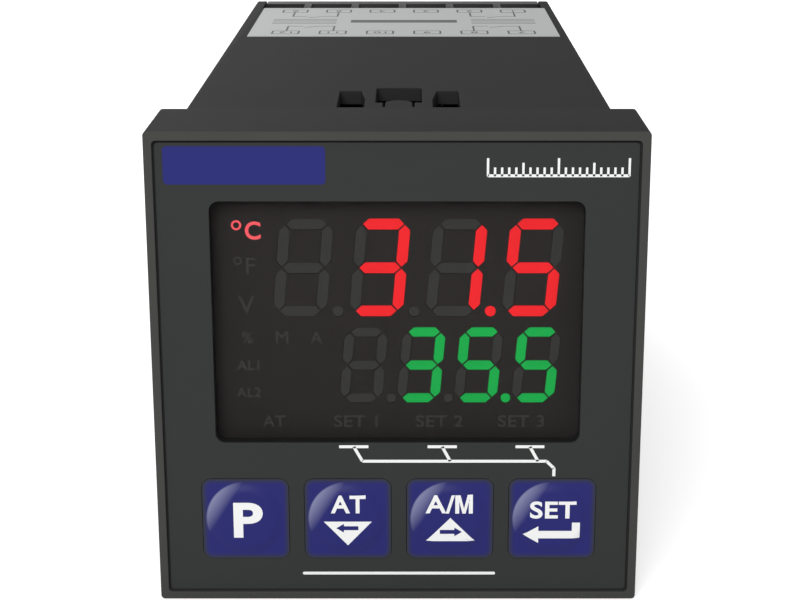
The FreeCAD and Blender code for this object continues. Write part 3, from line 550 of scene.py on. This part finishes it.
def key_blue(name, centre):
    """Blue ink with a painted highlight, a pale crescent that fades inwards from the pillow's rim."""
    material = keyed(moulded(name, blue, roughness=0.4, specular=0.15, grain=0.3, relief=0.0015,
                             cloudiness=0.06))
    nodes, links = material.node_tree.nodes, material.node_tree.links
    place = nodes.new("ShaderNodeTexCoord")
    on_key = nodes.new("ShaderNodeMapping")
    on_key.inputs["Location"].default_value = (-centre.x / MM, 0, -centre.z / MM)
    on_key.inputs["Scale"].default_value = (1 / MM, 0, 1 / MM)
    links.new(place.outputs["Object"], on_key.inputs["Vector"])
    radius = nodes.new("ShaderNodeVectorMath")
    radius.operation = "LENGTH"
    links.new(on_key.outputs["Vector"], radius.inputs[0])
    inside = nodes.new("ShaderNodeMapRange")
    inside.inputs["From Min"].default_value = pillow_radius - 0.05
    inside.inputs["From Max"].default_value = pillow_radius - 0.2
    links.new(radius.outputs["Value"], inside.inputs["Value"])
    # painted highlight: the key is paler towards the upper left of the pillow's slope, where the lamps light it
    reach = nodes.new("ShaderNodeVectorMath")
    reach.operation = "DOT_PRODUCT"
    reach.inputs[1].default_value = (-math.cos(highlight_turn), 0, math.sin(highlight_turn))
    links.new(on_key.outputs["Vector"], reach.inputs[0])
    fade = nodes.new("ShaderNodeMapRange")
    fade.inputs["From Min"].default_value = 2.25
    fade.inputs["From Max"].default_value = 4.1
    fade.inputs["To Max"].default_value = 0.75
    links.new(reach.outputs["Value"], fade.inputs["Value"])
    highlight_mask = nodes.new("ShaderNodeMath")
    highlight_mask.operation = "MULTIPLY"
    links.new(inside.outputs["Result"], highlight_mask.inputs[0])
    links.new(fade.outputs["Result"], highlight_mask.inputs[1])
    mix = nodes.new("ShaderNodeMix")
    mix.data_type = "RGBA"
    mix.inputs["B"].default_value = painted_highlight_pale
    shader = nodes["Principled BSDF"]
    links.new(nodes["grain"].outputs["Colour"], mix.inputs["A"])
    links.new(highlight_mask.outputs[0], mix.inputs["Factor"])
    links.new(mix.outputs["Result"], shader.inputs["Base Color"])
    return material


def pillow_height(radius):
    """How far the pillow stands forward at a distance from its centre, in millimetres."""
    across = min(max((pillow_radius - radius) / pillow_edge, 0), 1)
    return pillow_rise * across * across * (3 - 2 * across)


def key_piece(name):
    """The key's own shape, with its raised middle drawn smoothly into a pillow."""
    piece = merged_copy(f"key_{name}", f"key_cap_{name}", [("Z", key_row)])
    low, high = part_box(f"key_{name}")
    flange_front = film_front + 1.4 * MM
    centre = Vector(((low.x + high.x) / 2, film_front, (low.z + high.z) / 2))
    # the sides stand out until they almost touch the film's opening
    growth, side_reach = 0.06 * MM, 3.2 * MM
    for axis in (Vector((-1, 0, 0)), Vector((1, 0, 0)), Vector((0, 0, -1)), Vector((0, 0, 1))):
        select_points(piece, lambda place: film_front - 0.01 * MM < place.y < flange_front
                      and (place - centre).dot(axis) > side_reach
                      and (place - centre).length > (pillow_radius + 0.1) * MM)
        bpy.ops.transform.translate(value=axis * growth)
    select_points(piece, lambda place: place.y < film_front - 0.1 * MM)
    bpy.ops.mesh.delete(type="VERT")
    select_edges(piece, lambda edge: edge.is_boundary)
    before = pillow_radius
    for ring in range(1, pillow_rings + 1):
        radius = pillow_radius - pillow_edge * ring / pillow_rings
        bpy.ops.mesh.extrude_edges_move()
        bpy.ops.transform.resize(value=(radius / before, 1, radius / before), center_override=centre)
        rise = pillow_height(radius) - pillow_height(before)
        bpy.ops.transform.translate(value=(0, -rise * MM, 0))
        before = radius
    bpy.ops.mesh.edge_face_add()
    bpy.ops.mesh.select_all(action="SELECT")
    bpy.ops.mesh.normals_make_consistent(inside=False)
    bpy.ops.object.mode_set(mode="OBJECT")
    bpy.ops.object.shade_smooth_by_angle(angle=math.radians(30))
    finish(piece, f"key_{name}", "key_blue", key_blue(f"key_blue_{name}", centre), f"key_{name}")
    return centre


def on_pillow(piece, centre):
    """Lays a flat print on the raised pillow, after dividing its long edges."""
    longest, rounds = 0.45 * MM, 4
    for _ in range(rounds):
        select_edges(piece, lambda edge: edge.calc_length() > longest)
        bpy.ops.mesh.subdivide(number_cuts=1)
        bpy.ops.mesh.select_all(action="SELECT")
        bpy.ops.mesh.quads_convert_to_tris()
    bpy.ops.object.mode_set(mode="OBJECT")
    for point in piece.data.vertices:
        from_centre = Vector((point.co.x - centre.x, point.co.z - centre.z)).length / MM
        point.co.y -= pillow_height(from_centre) * MM
    return piece


def arrow(tip, tail, width, head):
    """A straight arrow with a triangular head, as one outline."""
    tip, tail = Vector(tip), Vector(tail)
    along = (tip - tail).normalized()
    across = Vector((-along.y, along.x))
    neck, half, barb = tip - along * head, across * width / 2, across * head * 0.62
    return [tip, neck + barb, neck + half, tail + half, tail - half, neck - half, neck - barb]


def letter_m(place, width, height, stroke):
    """The outline of a plain M about its middle."""
    x, z, peak = width / 2, height / 2, 1.3 * stroke
    half = [(x, z), (x, -z), (x - stroke, -z), (x - stroke, z - 1.7 * stroke), (0.4 * stroke, -z)]
    outline = [(0, -z + peak), (x - peak, z)] + half + [(-a, b) for a, b in reversed(half)] + [(peak - x, z)]
    return [(place[0] + a, place[1] + b) for a, b in outline]


key_centres = {name: key_piece(name) for name in ("program", "down", "up", "set")}
key_middles = {name: (centre.x / MM, centre.z / MM) for name, centre in key_centres.items()}


def legend(key, text, right, up, height, **style):
    """Lettering on a key, placed from the key's centre."""
    place = (key_middles[key][0] + right, key_middles[key][1] + up)
    return lettered(f"legend_{text.strip('/').lower()}", text, place, height, **style)


return_arrow = [(-2.9, -1.565), (-1.35, -0.665), (-1.35, -1.165), (2.0, -1.165), (2.0, -0.265), (2.8, -0.265),
                (2.8, -1.965), (-1.35, -1.965), (-1.35, -2.465)]
legends = {
    "program": [legend("program", "P", 0.25, -0.015, 3.75, bold=0.03, stretch=1.18)],
    "down": [legend("down", "AT", 0.05, 1.685, 1.9, bold=0.025),
             printed("legend_down", [[(-2.4, -0.165), (0, -2.715), (2.4, -0.165)]], place=key_middles["down"])],
    "up": [legend("up", "A/", -0.98, 1.685, 1.95, bold=0.02, stretch=1.08),
           printed("legend_m", [letter_m((1.4, 1.685), 1.75, 1.95, 0.4)], place=key_middles["up"]),
           printed("legend_up", [[(0.05, 0.235), (2.5, -2.265), (-2.4, -2.265)]], place=key_middles["up"])],
    "set": [legend("set", "SET", 0.1, 1.085, 1.85, bold=0.025, stretch=1.16),
            printed("legend_return", [return_arrow], place=key_middles["set"])],
}
for name, parts in legends.items():
    print_on_key = on_pillow(joined(parts, f"key_legend_{name}"), key_centres[name])
    finish(print_on_key, f"key_{name}", "key_blue", white_ink)

# a small blue arrow lies on each white triangle
arrow_blue = moulded("arrow_blue", blue, roughness=0.4, specular=0.15, relief=0.001, cloudiness=0.05)
for name, tip, tail in (("down", (-1.15, -0.865), (1.05, -0.865)), ("up", (1.2, -1.265), (-1.0, -1.265))):
    inner = printed(f"key_arrow_{name}", [arrow(tip, tail, 0.42, 0.75)], front=film_front - 0.015 * MM,
                    place=key_middles[name])
    finish(on_pillow(inner, key_centres[name]), f"key_{name}", "key_blue", arrow_blue)


# ---------------------------------------------------------------------------
# Display: a smoked lens over a black reflector block with red and green light guides.
# Behind the lens the legends of the small lamps are masked in the block's face.

smoke = moulded("smoked_acrylic", ink(10, 9, 9), roughness=0.3, specular=0.04, grain=0.6, relief=0.0005,
                cloudiness=0.04, unevenness=0.02)
smoke_alpha = 0.15
smoke.node_tree.nodes["Principled BSDF"].inputs["Alpha"].default_value = smoke_alpha
window = merged_copy("display_window", "window_lens")
soften(window, 0.05, steps=1)
finish(window, "root", "smoked_window", smoke, "display_window")


def glowing(name, colour, strength):
    """A light guide lit from behind."""
    material = moulded(name, colour, roughness=0.4, specular=0.2, grain=0.4, relief=0.001, cloudiness=0.08)
    nodes, links = material.node_tree.nodes, material.node_tree.links
    shader = nodes["Principled BSDF"]
    links.new(nodes["grain"].outputs["Colour"], shader.inputs["Emission Color"])
    shader.inputs["Emission Strength"].default_value = strength
    material.cycles.emission_sampling = "NONE"
    return material


red_glow = glowing("red_glow", ink(238, 36, 42), 0.57)
green_glow = glowing("green_glow", ink(22, 167, 73), 0.53)
unlit = moulded("unlit_guide", ink(74, 74, 72), roughness=0.5, specular=0.02, relief=0.001, cloudiness=0.05)
block_black = moulded("reflector_black", ink(59, 56, 55), roughness=0.6, specular=0.02, relief=0.002)


def coat(material, *nodes):
    """Puts a material on solids that keep their own shape."""
    for node in nodes:
        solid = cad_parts[node]
        solid.data.materials.clear()
        solid.data.materials.append(material)


# each light guide is a little smaller than its pocket, so dark gaps part the segments
guide_gap = 0.05
for node, slot, material in (("red_segments_lit", "segment_red", red_glow),
                             ("green_segments_lit", "segment_green", green_glow),
                             ("red_segments_dark", "segment_dark", unlit),
                             ("green_segments_dark", "segment_dark", unlit)):
    guides = merged_copy(node, f"{node}_guides")
    bpy.ops.object.mode_set(mode="EDIT")
    bpy.ops.mesh.select_all(action="SELECT")
    bpy.ops.transform.shrink_fatten(value=-guide_gap * MM)
    bpy.ops.object.mode_set(mode="OBJECT")
    finish(guides, "root", slot, material, node)
coat(block_black, "display_reflector", "legend_lamps")

# the legends are placed from the window's centre; the degree sign is a ring before the letter
mask_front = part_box("display_reflector")[0].y - 0.03 * MM
window_rise = window_row / MM
circle = [Vector((math.cos(turn * math.pi / 12), math.sin(turn * math.pi / 12))) for turn in range(24)]


def degree_sign(name, x, rise, outer, inner):
    """A flat ring, level with the tops of its letter."""
    return printed(name, [[point * outer for point in circle], [point * inner for point in circle]],
                   front=mask_front, place=(x, window_rise + rise))


lamp_red = glowing("lamp_red", ink(225, 84, 90), 0.9)
celsius = [lettered("celsius_letter", "C", (-14.0, window_rise + 8.84), 1.8, front=mask_front, bold=0.02,
                    stretch=0.95),
           degree_sign("celsius_ring", -15.6, 9.37, 0.5, 0.3)]
finish(joined(celsius, "celsius_legend"), "root", "segment_red", lamp_red)

lamp_column, status_rise = -14.78, -10.73
dark_legends = [lettered("fahrenheit_letter", "F", (-14.3, window_rise + 5.3), 1.6, front=mask_front),
                degree_sign("fahrenheit_ring", -15.55, 5.82, 0.42, 0.25)]
lamp_legends = (("V", -14.8, 1.34, 1.8), ("%", lamp_column, -2.01, 1.2), ("M", -11.38, -1.98, 1.3),
                ("A", -7.99, -2.01, 1.2), ("AL1", lamp_column, -4.85, 1.0),
                ("AL2", lamp_column, -7.69, 1.0), ("AT", -12.35, status_rise, 1.2),
                ("SET 1", -4.18, status_rise, 1.25), ("SET 2", 4.16, status_rise, 1.25),
                ("SET 3", 12.3, status_rise, 1.25))
for index, (text, x, rise, height) in enumerate(lamp_legends):
    dark_legends.append(lettered(f"lamp_legend_{index}", text, (x, window_rise + rise), height,
                                 front=mask_front, bold=0.012 if len(text) > 1 else 0,
                                 stretch=1.12 if len(text) > 3 else 1))
faint = moulded("faint_legend", ink(80, 80, 78), roughness=0.5, specular=0.02, relief=0.001)
finish(joined(dark_legends, "unlit_legends"), "root", "segment_dark", faint)


# ---------------------------------------------------------------------------
# Case: a square sleeve moulded in black, with a fine matt grain, and its rubber gasket.
# The clamp sockets are cut through the top and bottom walls.

case_black = moulded("case_black", moulding_black, roughness=0.6, specular=0.005, relief=0.008, grain=0.3)
socket_middle = rim_front + 28 * MM
sleeve = merged_copy("case_sleeve", "sleeve_shell", [("Y", socket_middle), ("Z", 0)])
soften(sleeve, 0.12, steps=2)
finish(sleeve, "root", "case_plastic", case_black, "case_sleeve")

rubber = moulded("gasket_rubber", ink(30, 30, 31), roughness=0.85, specular=0.2, relief=0.01, grain=0.2)
gasket = merged_copy("panel_gasket", "gasket_frame", [("Z", 0)])
soften(gasket, 0.15, steps=2)
finish(gasket, "root", "gasket_rubber", rubber, "panel_gasket")


# ---------------------------------------------------------------------------
# Wiring label: a pale polyester sheet on the top, to be read from the rear. Its diagram
# shows two rows of six numbered terminals and, between them, contacts and a supply bar.

coat(moulded("label_film", ink(172, 175, 174), roughness=0.6, specular=0.2, relief=0.001, cloudiness=0.03),
     "wiring_label")
label_low, label_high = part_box("wiring_label")
label_ink = moulded("label_ink", ink(60, 60, 62), roughness=0.6, specular=0.2, relief=0.001)
label_middle = ((label_low.x + label_high.x) / 2 / MM, (label_low.y + label_high.y) / 2 / MM)


def on_label(name, *outlines):
    """A print on the label, drawn about its middle and read from the rear."""
    return printed(name, outlines, front=label_high.z, place=label_middle, facing="top",
                   depth=label_ink_depth)


def label_line(name, *strokes, width=0.25):
    return on_label(name, *[bar(start, end, width) for start, end in strokes])


label_ink_depth = 0.008
box_pitch, box_row, lead_end = 6.4, 11.4, 5.2
marks = []
for row, away in enumerate((-1, 1)):
    for way in range(6):
        x, y = (way - 2.5) * box_pitch, away * box_row
        number = str(way + 1 + 6 * row)
        outer_edge = rounded_box((x - 1.9, y - 1.6), (x + 1.9, y + 1.6), 0.3)
        inner_edge = rounded_box((x - 1.65, y - 1.35), (x + 1.65, y + 1.35), 0.2)
        marks.append(on_label(f"terminal_box_{number}", outer_edge, inner_edge))
        # reading from the rear turns a place on the label half way round
        place = (label_middle[0] - x, label_middle[1] - y)
        marks.append(lettered(f"terminal_number_{number}", number, place, 1.5, front=label_high.z,
                              depth=label_ink_depth, facing="top"))
        if way not in (2, 3):
            marks.append(label_line(f"terminal_lead_{number}", ((x, y - away * 1.6), (x, away * lead_end))))
for name, x, y in (("a", -1, -1), ("b", 1, -1), ("c", -1, 1), ("d", 1, 1)):
    x, y = x * 2 * box_pitch, y * lead_end
    marks.append(label_line(f"contact_{name}", ((x - 3.2, y), (x - 1.1, y)), ((x + 1.1, y), (x + 3.2, y)),
                            ((x - 1.1, y), (x + 0.9, y + 1.3))))
marks.append(on_label("supply_bar", rounded_box((-7.5, -1.4), (7.5, 1.4), 0.3)))
for index in range(4):
    y = 2.2 - 1.4 * index
    marks.append(label_line(f"label_rule_{index}", ((-18.5, y), (-9.5, y)), width=0.3))
    marks.append(label_line(f"label_note_{index}", ((9.5, y), (18.5, y)), width=0.3))
finish(joined(marks, "label_diagram"), "root", "label_paper", label_ink)


# ---------------------------------------------------------------------------
# Rear: two terminal blocks and a slotted plate, in black glass-filled nylon.
# Plated cages and screws sit in the chambers.

screw_low, screw_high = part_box("terminal_screws")
solid_head, way_count = 2.0, 6
screw_row = screw_high.z / MM - solid_head
way_pitch = ((screw_high.x - screw_low.x) / MM - 2 * solid_head) / (way_count - 1)
wire_entry_row, number_row = 20.5, 10.6

nylon = moulded("terminal_nylon", ink(46, 46, 47), roughness=0.55, specular=0.1, relief=0.008, grain=0.25)
for side, turn in (("upper", 1), ("lower", -1)):
    block = merged_copy(f"{side}_terminal_block", f"{side}_block_moulding",
                        [("Z", turn * screw_row * MM), ("Z", turn * wire_entry_row * MM)])
    soften(block, 0.1, steps=2)
    finish(block, "root", "terminal_plastic", nylon, f"{side}_terminal_block")
plate = merged_copy("rear_plate", "vent_plate", [("Z", 0)])
soften(plate, 0.15, steps=2)
finish(plate, "root", "case_plastic", case_black, "rear_plate")

plated = moulded("zinc_plate", ink(186, 189, 192), roughness=0.35, specular=0.5, metallic=1.0, relief=0.002)
coat(plated, "terminal_cages", "terminal_contacts")
numbers = []
for row, z in enumerate((-number_row, number_row)):
    for way in range(way_count):
        number = str(way + 1 + way_count * row)
        numbers.append(lettered(f"way_number_{number}", number, ((2.5 - way) * way_pitch, z), 1.7,
                                front=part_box("upper_terminal_block")[1].y - 0.004 * MM, facing="rear"))
finish(joined(numbers, "way_numbers"), "root", "terminal_plastic", white_ink)


# ---------------------------------------------------------------------------
# Terminal screws: plated steel, M3, with a round-edged head that has a cross and a slot.
# One is made upright, with a thread swept up its shank, and is then laid down and copied.

head_radius, head_height, core_radius, thread_radius, thread_pitch = 1.97, 1.8, 1.2, 1.47, 0.5


def upright_rod(name, radius, bottom, top, sides=40):
    """A cylinder along the Z axis, in millimetres."""
    bpy.ops.object.select_all(action="DESELECT")
    bpy.ops.mesh.primitive_cylinder_add(vertices=sides, radius=radius * MM, depth=(top - bottom) * MM,
                                        location=(0, 0, (bottom + top) / 2 * MM))
    bpy.ops.object.transform_apply(location=True)
    bpy.context.object.name = name
    return bpy.context.object


shank_length = (screw_high.y - screw_low.y) / MM - head_height
screw = upright_rod("screw_head", head_radius, 0, head_height)
select_edges(screw, lambda edge: all(point.co.z > (head_height - 0.1) * MM for point in edge.verts))
bpy.ops.mesh.bevel(offset=0.45 * MM, segments=4)
bpy.ops.object.mode_set(mode="OBJECT")
for name, size in (("slot", (4.4, 0.6, 1.6)), ("cross", (0.6, 2.5, 1.9))):
    bpy.ops.object.select_all(action="DESELECT")
    bpy.ops.mesh.primitive_cube_add(size=MM, location=(0, 0, head_height * MM), scale=size)
    cutter = bpy.context.object
    only(screw)
    cut = screw.modifiers.new(name, "BOOLEAN")
    cut.operation = "DIFFERENCE"
    cut.solver = "EXACT"
    cut.object = cutter
    bpy.ops.object.modifier_apply(modifier=name)
    bpy.data.objects.remove(cutter)
shank = upright_rod("screw_shank", core_radius, -shank_length, 0, sides=24)
select_edges(shank, lambda edge: all(point.co.z < (0.1 - shank_length) * MM for point in edge.verts))
bpy.ops.mesh.bevel(offset=0.2 * MM, segments=1)
bpy.ops.object.mode_set(mode="OBJECT")
# the thread is a triangle with its point outwards, swept round and up the shank
tooth = thread_radius - core_radius
bpy.ops.object.select_all(action="DESELECT")
bpy.ops.mesh.primitive_circle_add(vertices=3, radius=tooth * MM, rotation=(math.pi / 2, math.pi / 2, 0),
                                  location=(core_radius * MM, 0, (0.5 - shank_length) * MM))
bpy.ops.object.transform_apply()
thread = bpy.context.object
sweep = thread.modifiers.new("sweep", "SCREW")
sweep.steps = sweep.render_steps = 24
sweep.screw_offset = thread_pitch * MM
sweep.iterations = int((shank_length - 0.6) / thread_pitch)
bpy.ops.object.modifier_apply(modifier="sweep")
select_edges(thread, lambda edge: edge.is_boundary)
bpy.ops.mesh.fill_holes(sides=3)
bpy.ops.mesh.select_all(action="SELECT")
bpy.ops.mesh.normals_make_consistent(inside=False)
bpy.ops.object.mode_set(mode="OBJECT")
screw = joined([screw, shank, thread], "one_screw")
bpy.ops.object.shade_smooth_by_angle(angle=math.radians(35))
screw.data.transform(Matrix.Rotation(math.radians(-90), 4, "X"))
screws = []
for side in (-1, 1):
    for way in range(way_count):
        copy = screw.copy()
        copy.data = screw.data.copy()
        bpy.context.collection.objects.link(copy)
        # each screw was left at its own angle when it was last turned
        copy.data.transform(Matrix.Rotation(math.radians(37 * way + 20 * side), 4, "Y"))
        place = Vector(((way - 2.5) * way_pitch, screw_high.y / MM - head_height, side * screw_row))
        copy.data.transform(Matrix.Translation(place * MM))
        screws.append(copy)
bpy.data.objects.remove(screw)
finish(joined(screws, "terminal_screw_set"), "root", "screw_steel", plated, "terminal_screws")


# ---------------------------------------------------------------------------
# Inside: green glass-fibre boards slid into the case, with what is soldered to them.
# They stay as the solids have them, and show only dimly through the sockets and slots.

board_green = moulded("board_green", ink(26, 92, 58), roughness=0.35, specular=0.5, relief=0.004, grain=0.5)
coat(board_green, "display_board", "upper_board", "lower_board")
part_black = moulded("part_black", ink(34, 34, 36), roughness=0.5, specular=0.4)
coat(part_black, "upper_header", "lower_header", "processor_chip", "amplifier_chips", "mains_capacitor",
     *[f"switch_body_{name}" for name in key_centres], *[f"switch_plunger_{name}" for name in key_centres])
coat(moulded("relay_blue", ink(40, 74, 140), roughness=0.4), "output_relays")
coat(moulded("ferrite_grey", ink(70, 70, 72), roughness=0.7), "transformer_core")
coat(moulded("winding_tape", ink(212, 180, 60), roughness=0.45), "transformer_winding")
coat(moulded("fuse_ceramic", ink(222, 220, 210), roughness=0.5), "mains_fuse")
coat(plated, "clock_crystal")
